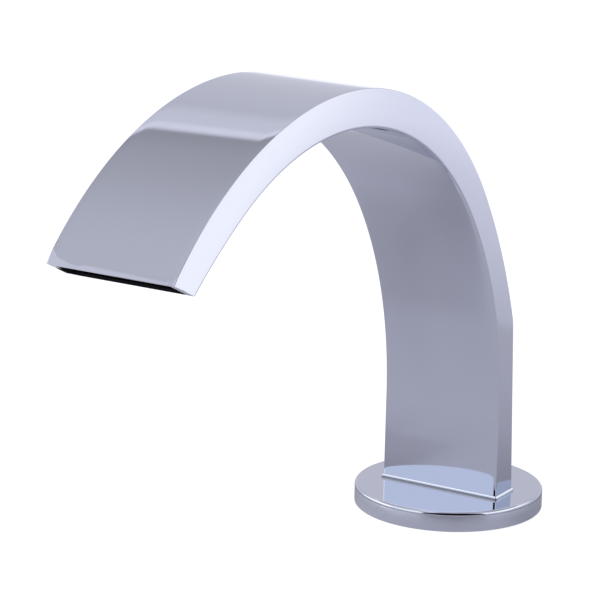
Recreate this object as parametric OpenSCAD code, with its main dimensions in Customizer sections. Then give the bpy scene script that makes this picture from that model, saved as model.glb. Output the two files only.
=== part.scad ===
// Arched waterfall spout of a widespread basin faucet, in millimetres.
// X runs across the spout, -Y points to the mouth and +Z up.
// The origin is the centre of the flange, in the plane of the deck that it stands on.
// Each long face of the arch is a straight foot followed by bends that run on from each other.
// A heading is the angle of such a face from upright, counted towards the mouth.

/* [Spout section] */
// Width across both cheeks
spout_w = 35.2; // [32:0.1:40]
// Thickness of each cheek
cheek_t = 2; // [1.5:0.1:3]
// Thickness of the outer plate
outer_t = 1.6; // [1.2:0.1:2]
// Thickness of the inner plate
inner_t = 1.5; // [1.2:0.1:2]
// Thickness of a plate's long edges, which lap over the cheeks
lap_t = 0.9; // [0.6:0.1:1.1]

/* [Back and top face] */
// Distance of the back face behind the centre, at the flange
back_y = 3.9; // [3.6:0.1:4.5]
// Lean of the straight back of the stem
back_lean = 3.5; // [1:0.1:5]
// Length of the straight back of the stem
back_straight = 47.4; // [40:0.1:55]
// Radius of the tight bend at the neck
neck_r = 12; // [8:0.5:20]
// Angle of the bend at the neck
neck_angle = 14.8; // [13:0.1:16]
// Radius of the rising back
rise_r = 148; // [140:1:160]
// Angle of the rising back
rise_angle = 16; // [15:0.1:17]
// Radius of the crown
crown_r = 90.5; // [88:0.1:94]
// Angle of the crown
crown_angle = 52.1; // [50:0.1:54]
// Radius of the nose
nose_r = 101.2; // [98:0.1:105]
// Angle of the nose
nose_angle = 50.6; // [48:0.1:52]

/* [Front and under face] */
// Distance of the front face before the centre, at the flange
front_y = 5.7; // [5.3:0.1:6.2]
// Length of the straight front of the stem
front_straight = 24.1; // [22:0.1:26]
// Angle of the heel, the lower bend of the front
heel_angle = 35.7; // [34.5:0.1:37]
// Angle of the vault under the crown
vault_angle = 85.8; // [84:0.1:87]
// Radius of the flatter stretch at the mouth
lip_r = 160.8; // [140:1:180]
// Angle of the flatter stretch
lip_angle = 8.6; // [7:0.1:10]
// Thickness of the arch along its cut end
mouth_t = 10.08; // [9:0.01:12]
// Tilt of the cut end from level
mouth_tilt = 26.3; // [22:0.1:30]

/* [Flange] */
// Radius of the flange
flange_r = 26; // [25:0.1:30]
// Height of the flange
flange_h = 5.5; // [5:0.1:8]
// Radius of the flange's top edge
rim_r = 0.8; // [0.3:0.1:1.2]
// Depth of the seat that the stem stands in
seat_depth = 1.2; // [0.8:0.1:1.6]
// Height of the recess under the flange
recess_h = 2.8; // [2:0.1:3]
// Width and height of the lip of braze round the stem
lip_w = 0.4; // [0.2:0.1:0.6]

/* [Foot block] */
// Radius of the head that clamps the flange
head_r = 17; // [16.8:0.1:18]
// Radius of the spigot that stands in the deck hole
spigot_r = 16; // [15:0.1:16.5]
// Length of the spigot
spigot_h = 8; // [6:0.1:10]
// Height of the tongue inside the stem, above the flange
tongue_h = 12; // [8:0.5:16]
// Thickness of the water passage through the tongue
passage_t = 3.2; // [2:0.1:3.6]
// Width of the passage where it leaves the socket
passage_low_w = 10; // [8:0.5:12]
// Width of the passage at the top of the tongue
passage_top_w = 24; // [18:0.5:26]
// Depth of the threaded socket
socket_depth = 8.8; // [7:0.1:9.4]

/* [Shank] */
// Outer radius of the mounting thread
thread_r = 10.45; // [10.2:0.01:10.6]
// Radius of the water bore
bore_r = 5.5; // [4.5:0.1:6]
// Distance from the deck plane down to the end of the mounting thread
thread_end = 50; // [49.9:0.1:60]
// Radius of the inlet nipple below the mounting thread
nipple_r = 8.3; // [8:0.1:8.6]
// Length of the inlet nipple
nipple_h = 11; // [9:0.5:16]

/* [Deck clamp] */
// Thickness of the deck that the clamp is drawn on
deck_t = 20; // [19.5:0.1:20.1]
// Outer radius of both washers
washer_r = 20; // [19:0.1:22]
// Thickness of the rubber washer
soft_washer_t = 3; // [2:0.1:3]
// Thickness of the metal washer
hard_washer_t = 1.5; // [1:0.1:1.5]
// Distance across the flats of the nut
nut_flats = 30; // [28:0.1:34]
// Height of the nut
nut_h = 9; // [7:0.1:9]

/* [Seals and inserts] */
// Section radius of the shank's seal ring
ring_section_r = 0.9; // [0.7:0.05:1]
// Thickness of the seal under the flange
seal_t = 1.8; // [1.2:0.1:2]
// Inner radius of the groove for that seal
groove_in_r = 19.5; // [19:0.1:20]
// Outer radius of the groove
groove_out_r = 23.5; // [22.5:0.1:24]
// Height of the flow regulator
regulator_h = 4; // [3.4:0.1:5]
// Distance of the flow straightener inside the mouth
comb_set = 8; // [7:0.1:12]
// Length of the flow straightener
comb_depth = 10; // [6:0.5:14]
// Width of each water slot in the straightener
comb_slot_w = 2.6; // [1.6:0.1:3]
// Thickness of the ribs between the slots
comb_rib_t = 1; // [0.8:0.1:1.4]

/* [Hidden] */

// Overrun of cuts and of the arch past its cut mouth
over = 4;
// Clearance between brazed pieces, and between a loose piece and its seat
braze_gap = 0.05;
seat_gap = 0.1;
// Radial running clearance of the nut, and clearance of the washers round the shank
nut_clear = 0.05;
washer_clear = 0.45;
// Gap between the nut and the washer that it pushes
push_gap = 0.1;
// Radial clearance of the flange round the head of the foot block
head_clear = 0.2;
// Clearance of the flow straightener, and its walls above and below the slots
comb_clear = 0.15;
comb_wall_t = 1.1;
// Wall that the comb keeps at each cheek
comb_side_t = 1.2;
// Height and depth of the chamfer on the nut's corners
nut_chamfer = 1;
// Height of the washer face of the nut
nut_face_h = 0.8;
// Counterbore in the nipple for the regulator
regulator_r = 6.1;
regulator_clear = 0.1;
regulator_set = 1;
regulator_holes = 6;
regulator_hole_r = 0.9;
regulator_pitch_r = 3.4;
regulator_core_r = 1.2;
regulator_ring_r = 0.6;
// Largest angle between two points of a bend
step_angle = 2;
// Fineness of round faces, of small rings and of edge roundings
$fn = 144;
ring_fn = 48;
edge_fn = 32;
hex_sides = 6;

cavity_w = spout_w - 2 * cheek_t;
back_bends = [[neck_r, neck_angle], [rise_r, rise_angle], [crown_r, crown_angle], [nose_r, nose_angle]];
// Both faces start below the seat, where the leaning back lies a little further out
seat_z = flange_h - seat_depth;
foot_over = seat_depth + over / 2;
back_start = [back_y + foot_over * tan(back_lean), flange_h - foot_over];
front_start = [-front_y, flange_h - foot_over];
back_foot = foot_over / cos(back_lean) + back_straight;
front_foot = foot_over + front_straight;
stem_back = back_y + seat_depth * tan(back_lean);
tip = end_of(ahead(back_start, back_lean, back_foot), back_lean, back_bends);
mouth_dir = [cos(mouth_tilt), -sin(mouth_tilt)];
mouth_in = [sin(mouth_tilt), cos(mouth_tilt)];
// The heel and the vault get the radii that bring the front face to the mouth at its thickness
heel_chord = unit_chord(0, heel_angle);
vault_chord = unit_chord(heel_angle, vault_angle);
front_span = tip + mouth_t * mouth_dir - ahead(front_start, 0, front_foot)
    - lip_r * unit_chord(heel_angle + vault_angle, lip_angle);
heel_r = cross(front_span, vault_chord) / cross(heel_chord, vault_chord);
vault_r = cross(heel_chord, front_span) / cross(heel_chord, vault_chord);
front_bends = [[heel_r, heel_angle], [vault_r, vault_angle], [lip_r, lip_angle]];
socket_roof = socket_depth - spigot_h;
shank_top = socket_roof - 2 * ring_section_r;
thread_r_hole = thread_r + nut_clear;
nipple_end = thread_end + nipple_h;
regulator_top = nipple_end - regulator_set - regulator_h;
washer_in_r = thread_r + washer_clear;
hard_washer_z = deck_t + soft_washer_t;
nut_z = hard_washer_z + hard_washer_t + push_gap;

// Point at distance d from p on heading a
function ahead(p, a, d) = p + d * [-sin(a), cos(a)];
// Centre of a bend of radius r that starts at p on heading a
function centre(p, a, r) = p - r * [cos(a), sin(a)];
// Way across a bend of radius 1 that starts on heading a and turns by t
function unit_chord(a, t) = [cos(a + t) - cos(a), sin(a + t) - sin(a)];
// Point on that bend after turning by t
function turned(p, a, r, t) = centre(p, a, r) + r * [cos(a + t), sin(a + t)];
// Start point and heading of bend i
function start_of(p, a, bends, i) = i == 0 ? [p, a]
    : let (s = start_of(p, a, bends, i - 1), b = bends[i - 1])
      [turned(s[0], s[1], b[0], b[1]), s[1] + b[1]];
// End point of all bends
function end_of(p, a, bends) = start_of(p, a, bends, len(bends))[0];
// Points of a face moved out by d, from its foot to past the mouth
function face_points(p, a, foot, bends, d) = let (q = ahead(p, a, foot))
    concat([p + d * [cos(a), sin(a)]],
        [for (i = [0 : len(bends) - 1])
            let (s = start_of(q, a, bends, i), n = ceil(bends[i][1] / step_angle))
            for (k = [0 : n - 1])
                let (h = s[1] + bends[i][1] * k / n)
                turned(s[0], s[1], bends[i][0], h - s[1]) + d * [cos(h), sin(h)]],
        [let (e = start_of(q, a, bends, len(bends)))
            ahead(e[0], e[1], over) + d * [cos(e[1]), sin(e[1])]]);
function back_points(d) = face_points(back_start, back_lean, back_foot, back_bends, d);
function front_points(d) = face_points(front_start, 0, front_foot, front_bends, d);
function reversed(list) = [for (i = [len(list) - 1 : -1 : 0]) list[i]];

// Turns the drawing plane into the side view, so that a drawing's x is Y and its y is Z
module side_view() {
    rotate([90, 0, 90]) children();
}

// Cuts the arch off level in its seat and along the plane of the mouth
module trimmed() {
    low = tip - over * mouth_dir;
    high = tip + spout_w * mouth_dir;
    difference() {
        children();
        side_view() linear_extrude(spout_w + 2 * over, center = true)
            polygon([low, low - spout_w * mouth_in, high - spout_w * mouth_in, high]);
        translate([-spout_w / 2 - over, -spout_w / 2, seat_z - 2 * over])
            cube([spout_w + 2 * over, spout_w, 2 * over]);
    }
}

// Side wall at +X, with the outline of the arch less the edges of both plates
module cheek() {
    trimmed() translate([spout_w / 2 - cheek_t, 0, 0]) side_view() linear_extrude(cheek_t)
        polygon(concat(back_points(-lap_t), reversed(front_points(lap_t))));
}

module right_cheek() {
    color("whitesmoke") cheek();
}

module left_cheek() {
    color("whitesmoke") mirror([1, 0, 0]) cheek();
}

// Bent plate, fitted between the cheeks, with its rebated edges over them
module outer_plate() {
    color("silver") trimmed() side_view() {
        linear_extrude(spout_w, center = true)
            polygon(concat(back_points(0), reversed(back_points(-lap_t))));
        linear_extrude(cavity_w, center = true)
            polygon(concat(back_points(-lap_t), reversed(back_points(-outer_t))));
    }
}

// Bent plate, fitted between the cheeks, with its rebated edges under them
module inner_plate() {
    color("silver") trimmed() side_view() {
        linear_extrude(spout_w, center = true)
            polygon(concat(front_points(lap_t), reversed(front_points(0))));
        linear_extrude(cavity_w, center = true)
            polygon(concat(front_points(inner_t), reversed(front_points(lap_t))));
    }
}

// Moulded comb that calms the water before the mouth
module flow_straightener() {
    w = cavity_w - 2 * comb_clear;
    pitch = comb_slot_w + comb_rib_t;
    count = floor((w - 2 * comb_side_t + comb_rib_t) / pitch);
    color("dimgray") difference() {
        comb_slab(0) comb_outline(w, comb_clear);
        for (i = [0 : count - 1])
            translate([(i - (count - 1) / 2) * pitch, 0, 0])
                comb_slab(over / 2) comb_outline(comb_slot_w, comb_clear + comb_wall_t);
    }
}

// Part of the water channel, drawn in from both plates
module comb_outline(w, wall) {
    side_view() linear_extrude(w, center = true)
        polygon(concat(back_points(-outer_t - wall), reversed(front_points(inner_t + wall))));
}

// Keeps what lies between two planes parallel to the mouth
module comb_slab(extra) {
    near = tip + (comb_set - extra) * mouth_in - over * mouth_dir;
    far = near + (comb_depth + 2 * extra) * mouth_in;
    reach = back_y + front_y + 2 * over;
    intersection() {
        children();
        side_view() linear_extrude(spout_w, center = true)
            polygon([near, near + reach * mouth_dir, far + reach * mouth_dir, far]);
    }
}

// Outline of the stem where it stands in its seat, moved out by d
module stem_outline(d) {
    translate([-spout_w / 2 - d, -front_y - d])
        square([spout_w + 2 * d, front_y + stem_back + 2 * d]);
}

module base_flange() {
    color("silver") difference() {
        union() {
            rotate_extrude() {
                square([flange_r - rim_r, flange_h]);
                square([flange_r, flange_h - rim_r]);
                translate([flange_r - rim_r, flange_h - rim_r]) circle(rim_r, $fn = edge_fn);
            }
            linear_extrude(flange_h + lip_w) stem_outline(lip_w + braze_gap);
        }
        translate([0, 0, seat_z]) linear_extrude(seat_depth + over) stem_outline(braze_gap);
        linear_extrude(flange_h) tongue_outline(seat_gap);
        translate([0, 0, -over]) cylinder(r = head_r + head_clear, h = recess_h + over);
        translate([0, 0, -over]) rotate_extrude()
            translate([groove_in_r, 0]) square([groove_out_r - groove_in_r, seal_t + over]);
    }
}

// Outline of the tongue where it passes the flange, moved out by d
module tongue_outline(d) {
    translate([-cavity_w / 2 + braze_gap - d, tongue_front - d])
        square([cavity_w - 2 * braze_gap + 2 * d, tongue_back(recess_h) - tongue_front + 2 * d]);
}

tongue_front = inner_t + braze_gap - front_y;
// Back of the tongue at height z, along the leaning outer plate
function tongue_back(z) = back_y + (flange_h - z) * tan(back_lean)
    - (outer_t + braze_gap) / cos(back_lean);
tongue_top = flange_h + tongue_h;

// Brass block that closes the stem, clamps the flange and takes the shank
module foot_block() {
    color("goldenrod") difference() {
        union() {
            translate([0, 0, -spigot_h]) cylinder(r = spigot_r, h = spigot_h);
            cylinder(r = head_r, h = recess_h);
            side_view() linear_extrude(cavity_w - 2 * braze_gap, center = true)
                polygon([[tongue_front, recess_h], [tongue_back(recess_h), recess_h],
                    [tongue_back(tongue_top), tongue_top], [tongue_front, tongue_top]]);
        }
        translate([0, 0, -spigot_h - over]) cylinder(r = thread_r_hole, h = socket_depth + over);
        passage();
    }
}

// Water passage that fans out from the socket to the top of the tongue
module passage() {
    low = passage_low_w / 2;
    top = passage_top_w / 2;
    middle = (tongue_front + tongue_back(tongue_top)) / 2;
    translate([0, middle + passage_t / 2, 0]) rotate([90, 0, 0]) linear_extrude(passage_t)
        polygon([[-low, socket_roof - over], [low, socket_roof - over], [low, socket_roof],
            [top, tongue_top], [top, tongue_top + over],
            [-top, tongue_top + over], [-top, tongue_top], [-low, socket_roof]]);
}

module deck_seal() {
    color("dimgray") rotate_extrude()
        translate([groove_in_r + seat_gap, 0])
            square([groove_out_r - groove_in_r - 2 * seat_gap, seal_t]);
}

// Hollow threaded tail that carries the spout and brings the water
module threaded_shank() {
    color("goldenrod") difference() {
        union() {
            translate([0, 0, -thread_end]) cylinder(r = thread_r, h = thread_end + shank_top);
            translate([0, 0, -nipple_end]) cylinder(r = nipple_r, h = nipple_end - thread_end);
        }
        translate([0, 0, -nipple_end - over]) cylinder(r = bore_r, h = nipple_end + 2 * over);
        translate([0, 0, -nipple_end - over])
            cylinder(r = regulator_r + regulator_clear, h = nipple_end - regulator_top + over);
    }
}

module shank_seal_ring() {
    color("dimgray") translate([0, 0, shank_top + ring_section_r]) rotate_extrude()
        translate([(bore_r + thread_r) / 2, 0]) circle(ring_section_r, $fn = ring_fn);
}

// Disc with a ring of metering holes, pushed into the inlet
module flow_regulator() {
    color("white") translate([0, 0, -regulator_top - regulator_h]) difference() {
        cylinder(r = regulator_r, h = regulator_h);
        for (i = [0 : regulator_holes - 1])
            rotate([0, 0, i * 360 / regulator_holes])
                translate([regulator_pitch_r, 0, -over])
                    cylinder(r = regulator_hole_r, h = regulator_h + 2 * over, $fn = edge_fn);
        translate([0, 0, -over]) cylinder(r = regulator_core_r, h = regulator_h / 2 + over, $fn = edge_fn);
        translate([0, 0, regulator_h / 2 - regulator_ring_r]) rotate_extrude()
            translate([regulator_r - regulator_ring_r, 0])
                square([regulator_ring_r + over, 2 * regulator_ring_r]);
    }
}

module regulator_seal_ring() {
    color("dimgray") translate([0, 0, -regulator_top - regulator_h / 2]) rotate_extrude()
        translate([regulator_r - regulator_ring_r, -regulator_ring_r])
            square([regulator_ring_r + regulator_clear, 2 * regulator_ring_r]);
}

// Flat ring round the shank with its top at depth z
module washer(z, t) {
    translate([0, 0, -z - t]) rotate_extrude()
        translate([washer_in_r, 0]) square([washer_r - washer_in_r, t]);
}

module rubber_washer() {
    color("dimgray") washer(deck_t, soft_washer_t);
}

module metal_washer() {
    color("silver") washer(hard_washer_z, hard_washer_t);
}

module mounting_nut() {
    corner_r = nut_flats / 2 / cos(180 / hex_sides);
    face_r = nut_flats / 2;
    color("goldenrod") translate([0, 0, -nut_z - nut_h]) difference() {
        union() {
            intersection() {
                cylinder(r = corner_r, h = nut_h - nut_face_h, $fn = hex_sides);
                nut_chamfers(corner_r);
            }
            translate([0, 0, nut_h - nut_face_h]) cylinder(r = face_r, h = nut_face_h);
        }
        translate([0, 0, -over]) cylinder(r = thread_r_hole, h = nut_h + 2 * over);
    }
}

// Turned shape that takes the corners off both ends of the nut
module nut_chamfers(corner_r) {
    h = nut_h - nut_face_h;
    low_r = corner_r - 2 * nut_chamfer;
    rotate_extrude() polygon([[0, 0], [low_r, 0], [corner_r, nut_chamfer],
        [corner_r, h - nut_chamfer], [low_r, h], [0, h]]);
}

left_cheek();
right_cheek();
outer_plate();
inner_plate();
flow_straightener();
base_flange();
foot_block();
deck_seal();
threaded_shank();
shank_seal_ring();
flow_regulator();
regulator_seal_ring();
rubber_washer();
metal_washer();
mounting_nut();
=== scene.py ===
from math import copysign, atan2, cos, pi, radians, sin, tan

import bmesh
import bpy
from bpy.props import FloatProperty, FloatVectorProperty, IntProperty, PointerProperty
from mathutils import Matrix, Vector


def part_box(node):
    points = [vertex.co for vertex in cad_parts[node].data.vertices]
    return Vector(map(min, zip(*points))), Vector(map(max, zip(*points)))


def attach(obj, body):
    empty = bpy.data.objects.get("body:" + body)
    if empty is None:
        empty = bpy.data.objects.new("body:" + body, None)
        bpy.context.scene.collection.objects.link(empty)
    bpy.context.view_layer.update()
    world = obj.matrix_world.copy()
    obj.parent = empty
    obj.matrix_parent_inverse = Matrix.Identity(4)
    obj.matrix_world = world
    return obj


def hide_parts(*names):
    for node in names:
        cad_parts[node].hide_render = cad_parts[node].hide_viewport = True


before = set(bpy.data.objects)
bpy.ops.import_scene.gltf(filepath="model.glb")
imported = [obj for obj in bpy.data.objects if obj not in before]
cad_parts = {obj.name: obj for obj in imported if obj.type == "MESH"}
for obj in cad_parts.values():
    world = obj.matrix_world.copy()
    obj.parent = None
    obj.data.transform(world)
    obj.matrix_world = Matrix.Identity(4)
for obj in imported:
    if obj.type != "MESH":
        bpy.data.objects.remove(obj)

bl_info = {
    "name": "Arched basin spout",
    "version": (1, 0, 0),
    "blender": (4, 5, 0),
    "location": "3D View > Sidebar > Spout",
    "description": "Builds the fine pieces of an arched waterfall spout and the studio that shows it",
    "category": "Object",
}

MM = 0.001
# Distances below which points are merged, and count as lying on one plane or one ring
MERGE = 0.001 * MM
ON_PLANE = 0.01 * MM
ON_RING = 0.1 * MM
# Least fold in degrees between the two faces of an edge that is broken
FOLD = 30
LEFT, RIGHT = Vector((-1, 0, 0)), Vector((1, 0, 0))
FRONT, DOWN = Vector((0, -1, 0)), Vector((0, 0, -1))
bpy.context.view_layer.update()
CHEEK_LOW, CHEEK_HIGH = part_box("right_cheek")
FLANGE_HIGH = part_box("base_flange")[1]
SHANK_LOW, SHANK_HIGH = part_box("threaded_shank")


def length(name, about, value):
    return FloatProperty(name=name, description=about, default=value, unit="LENGTH", precision=5)


def angle(name, about, degrees):
    return FloatProperty(name=name, description=about, default=radians(degrees), subtype="ANGLE")


def plain(name, about, value, unit="NONE"):
    return FloatProperty(name=name, description=about, default=value, unit=unit)


def triple(name, about, values, kind):
    return FloatVectorProperty(name=name, description=about, default=values, size=3, subtype=kind)


def colour(name, about, rgb):
    return triple(name, about, rgb, "COLOR")


class SpoutSizes(bpy.types.PropertyGroup):
    """Sizes of the arch, which repeat those of the part"""
    half_w: length("Half width", "Half the width across both cheeks", CHEEK_HIGH.x)
    cheek_t: length("Cheek", "Thickness of each cheek", CHEEK_HIGH.x - CHEEK_LOW.x)
    outer_t: length("Outer plate", "Thickness of the plate on the back and top", 1.6 * MM)
    inner_t: length("Inner plate", "Thickness of the plate on the front and underside", 1.5 * MM)
    rebate: length("Rebate", "Depth of the rebated edges by which a plate laps over the cheeks", 0.9 * MM)
    seam: length("Seam", "Gap of the brazed seams, polished away to a hairline", 0.004 * MM)
    droop: length("Droop", "How far the polishing has lowered a plate's long edges", 0.05 * MM)
    back_edge: length("Back edge", "Radius of the long edges on the back and top", 0.14 * MM)
    near_edge: length("Near edge", "Radius of the right long edge on the front and underside", 0.8 * MM)
    far_edge: length("Far edge", "Radius of the left long edge on the front and underside", 0.45 * MM)
    crown: length("Crown", "Height by which polishing has crowned the side faces", 0.03 * MM)
    roll: angle("Roll-off", "Angle by which polishing has rounded off the outer plate at the mouth", 5.2)
    roll_w: length("Roll-off width", "Width of that strip", 1.5 * MM)
    corner_w: length("Corner width", "How much wider that strip is at the left corner", 3.4 * MM)
    tip_edge: length("Tip edge", "Radius of the outer edge of the mouth", 0.25 * MM)
    rim_t: length("Mouth rim", "Thickness that the flared mouth keeps at its edge", 0.3 * MM)
    back_y: length("Back", "Distance of the back behind the centre, at the flange", 3.9 * MM)
    back_lean: angle("Back lean", "Lean of the straight back", 3.5)
    back_straight: length("Straight back", "Length of the straight back", 47.4 * MM)
    neck_r: length("Neck radius", "Radius of the tight bend at the neck", 12 * MM)
    neck_a: angle("Neck", "Angle of the bend at the neck", 14.8)
    rise_r: length("Rise radius", "Radius of the rising back", 148 * MM)
    rise_a: angle("Rise", "Angle of the rising back", 16)
    crown_r: length("Crown radius", "Radius of the crown", 90.5 * MM)
    crown_a: angle("Crown", "Angle of the crown", 52.1)
    nose_r: length("Nose radius", "Radius of the nose", 101.2 * MM)
    nose_a: angle("Nose", "Angle of the nose", 50.6)
    front_y: length("Front", "Distance of the front before the centre", 5.7 * MM)
    front_straight: length("Straight front", "Length of the straight front", 24.1 * MM)
    heel_a: angle("Heel", "Angle of the heel", 35.7)
    vault_a: angle("Vault", "Angle of the vault", 85.8)
    lip_r: length("Lip radius", "Radius of the flatter stretch at the mouth", 160.8 * MM)
    lip_a: angle("Lip", "Angle of the flatter stretch", 8.6)
    mouth_t: length("Mouth", "Thickness of the arch along its cut end", 10.08 * MM)
    mouth_tilt: angle("Mouth tilt", "Tilt of the cut end from level", 26.3)
    step: angle("Step", "Largest angle between two points of a bend", 0.75)
    over: length("Overrun", "How far the arch is drawn past its cuts", 4 * MM)


class FootSizes(bpy.types.PropertyGroup):
    """Sizes of the flange and of what stands below the deck"""
    flange_r: length("Flange radius", "Radius of the flange", FLANGE_HIGH.x)
    flange_h: length("Flange height", "Height of the flange", 5.5 * MM)
    rim_r: length("Rim", "Radius of the flange's top edge", 0.9 * MM)
    seat: length("Seat", "Depth of the seat that the stem stands in", 1.2 * MM)
    lip: length("Braze lip", "Height of the bead of braze round the stem", 0.85 * MM)
    lip_edge: length("Braze edge", "Height of the sloping upper part of the bead", 0.45 * MM)
    lip_slope: plain("Braze width", "Width of the bead in front as a share of that height", 0.6)
    lip_aside: plain("Braze side", "Width of the bead at the sides as a share of that height", 1.02)
    braze_gap: length("Braze gap", "Clearance of the seat round the stem", 0.05 * MM)
    recess_r: length("Recess radius", "Radius of the recess under the flange", 17.2 * MM)
    recess_h: length("Recess", "Height of the recess under the flange", 2.8 * MM)
    groove_in: length("Groove inside", "Inner radius of the seal's groove", 19.5 * MM)
    groove_out: length("Groove outside", "Outer radius of the seal's groove", 23.5 * MM)
    groove_h: length("Groove", "Depth of the seal's groove", 1.8 * MM)
    thread_r: length("Thread radius", "Outer radius of the mounting thread", SHANK_HIGH.x)
    thread_pitch: length("Thread pitch", "Pitch of the mounting thread", 1.814 * MM)
    thread_d: length("Thread depth", "Depth of the mounting thread", 1.05 * MM)
    thread_end: length("Thread end", "Depth of the end of the mounting thread", 50 * MM)
    nipple_r: length("Nipple radius", "Outer radius of the inlet nipple", 8.3 * MM)
    nipple_pitch: length("Nipple pitch", "Pitch of the nipple's thread", 1.337 * MM)
    nipple_d: length("Nipple depth", "Depth of the nipple's thread", 0.8 * MM)
    sides: IntProperty(name="Sides", description="Flats in a whole turn of a round face", default=144)


class EdgeSizes(bpy.types.PropertyGroup):
    """Sizes of the broken edges of the turned, machined and moulded pieces"""
    flange: length("Flange", "Lower edge of the flange", 0.25 * MM)
    block: length("Foot block", "Edges of the foot block", 0.25 * MM)
    comb: length("Comb", "Edges of the flow straightener", 0.12 * MM)
    seal: length("Deck seal", "Edges of the seal under the flange", 0.3 * MM)
    ring: length("Ring", "Edges of the regulator's seal ring", 0.15 * MM)
    shank: length("Shank", "Edges of the shank", 0.3 * MM)
    disc: length("Regulator", "Edges of the flow regulator", 0.12 * MM)
    soft: length("Rubber washer", "Edges of the rubber washer", 0.4 * MM)
    hard: length("Metal washer", "Edges of the metal washer", 0.35 * MM)
    nut: length("Nut", "Edges of the nut", 0.3 * MM)


class SpoutColours(bpy.types.PropertyGroup):
    """Colours of the finishes"""
    chrome: colour("Chrome", "Polished chrome plate", (0.76, 0.78, 0.85))
    brass: colour("Brass", "Machined brass", (0.72, 0.5, 0.22))
    steel: colour("Zinc steel", "Zinc plated steel", (0.62, 0.63, 0.66))
    rubber: colour("Rubber", "Moulded black rubber", (0.03, 0.03, 0.032))
    white: colour("White plastic", "Moulded white acetal", (0.8, 0.8, 0.78))
    grey: colour("Grey plastic", "Moulded dark acetal", (0.035, 0.035, 0.038))
    # The bore colour is near black: painted shade inside the deep water channel
    bore: colour("Bore", "Dull dark metal inside the water channel", (0.012, 0.012, 0.014))


class StudioSizes(bpy.types.PropertyGroup):
    """Camera, floor and light"""
    azimuth: angle("Azimuth", "Turn of the camera to the right of the mouth's side", 30.77)
    elevation: angle("Elevation", "Height of the camera's view", 14.94)
    roll: angle("Roll", "Turn of the picture", 1.383)
    distance: length("Distance", "Distance of the camera from its target", 785.0 * MM)
    target: triple("Target", "Point in the middle of the picture", (0, -82.84 * MM, 75.87 * MM),
                   "TRANSLATION")
    lens: plain("Lens", "Focal length in millimetres", 188.67, "CAMERA")
    picture_w: plain("Picture width", "Width of the camera's picture in millimetres", 36, "CAMERA")
    clip: length("Nearest", "Least distance at which the camera sees", 10 * MM)
    hole_r: length("Tap hole", "Radius of the hole in the floor under the flange", 25.7 * MM)
    white: colour("Background", "Colour of the floor and the backdrop in the picture", (1, 1, 1))
    wall: colour("Dim wall", "Colour of the dimmer wall on the right", (0.46, 0.52, 0.66))
    card: colour("Dark card", "Colour of the dark card beside the camera", (0.01, 0.008, 0.01))
    lamp_at: triple("Lamp", "Place of the soft lamp", (-0.6, -0.5, 1.4), "TRANSLATION")
    lamp_turn: triple("Lamp turn", "Turn of the soft lamp", (radians(-20), radians(-23), 0), "EULER")
    lamp_w: length("Lamp width", "Width of the round soft lamp", 0.9)
    lamp_power: plain("Lamp power", "Power of the soft lamp in watts", 6, "POWER")


# Modelling by hand

def nothing_selected():
    if bpy.context.object and bpy.context.object.mode != "OBJECT":
        bpy.ops.object.mode_set(mode="OBJECT")
    bpy.ops.object.select_all(action="DESELECT")


def selected(piece):
    nothing_selected()
    bpy.context.view_layer.objects.active = piece
    piece.select_set(True)


def named(name):
    """Gives the newest object a name and applies its place, so that it sits at the origin"""
    piece = bpy.context.object
    piece.name = name
    piece.data.name = name
    bpy.ops.object.transform_apply(location=True, rotation=True, scale=True)
    return piece


def all_picked(kind="FACE"):
    bpy.ops.mesh.select_mode(type=kind)
    bpy.ops.mesh.select_all(action="SELECT")


def editing(piece):
    selected(piece)
    bpy.ops.object.mode_set(mode="EDIT")
    all_picked()


def done():
    bpy.ops.object.mode_set(mode="OBJECT")


def pick(kind, test):
    """Selects only the vertices, edges or faces of the edited mesh that pass a test"""
    bpy.ops.mesh.select_mode(type=kind)
    bpy.ops.mesh.select_all(action="DESELECT")
    mesh = bpy.context.object.data
    shape = bmesh.from_edit_mesh(mesh)
    parts = {"VERT": shape.verts, "EDGE": shape.edges, "FACE": shape.faces}[kind]
    chosen = [part for part in parts if test(part)]
    for part in chosen:
        part.select_set(True)
    bmesh.update_edit_mesh(mesh)


def slide(x, y, z):
    bpy.ops.transform.translate(value=(x, y, z))


def pull(x, y, z):
    bpy.ops.mesh.extrude_region_move(TRANSFORM_OT_translate={"value": (x, y, z)})


def middle(edge):
    return (edge.verts[0].co + edge.verts[1].co) / 2


def folded(edge, least=50):
    """True for an edge where two faces meet at more than an angle in degrees"""
    return len(edge.link_faces) == 2 and edge.calc_face_angle() > radians(least)


def rounded(test, size, segments):
    """Breaks or rounds the edges of the edited mesh that pass a test"""
    pick("EDGE", test)
    bpy.ops.mesh.bevel(offset=size, segments=segments, affect="EDGES")


def widened(share):
    """Scales what is selected about the Z axis"""
    bpy.ops.transform.resize(value=(share, share, 1), center_override=(0, 0, 0))


def looks(face, way, least=0.9):
    """True for a face that looks along a direction, where least is the smallest cosine between them"""
    return face.normal.dot(way) > least


def split(point, normal):
    """Adds the edges where a plane crosses the edited mesh"""
    bpy.ops.mesh.select_all(action="SELECT")
    bpy.ops.mesh.bisect(plane_co=point, plane_no=normal)


def cut(point, normal, test):
    """Cuts off what lies beyond a plane, of the faces that pass a test, and closes the cut"""
    pick("FACE", test)
    bpy.ops.mesh.bisect(plane_co=point, plane_no=normal, use_fill=True, clear_outer=True)


def tidy_normals():
    bpy.ops.mesh.select_all(action="SELECT")
    bpy.ops.mesh.remove_doubles(threshold=MERGE)
    bpy.ops.mesh.normals_make_consistent(inside=False)


def reshape(piece, place):
    """Moves each vertex of the edited mesh to where a function puts it"""
    for v in bmesh.from_edit_mesh(piece.data).verts:
        v.co = place(v.co.copy())
    bmesh.update_edit_mesh(piece.data)


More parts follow.
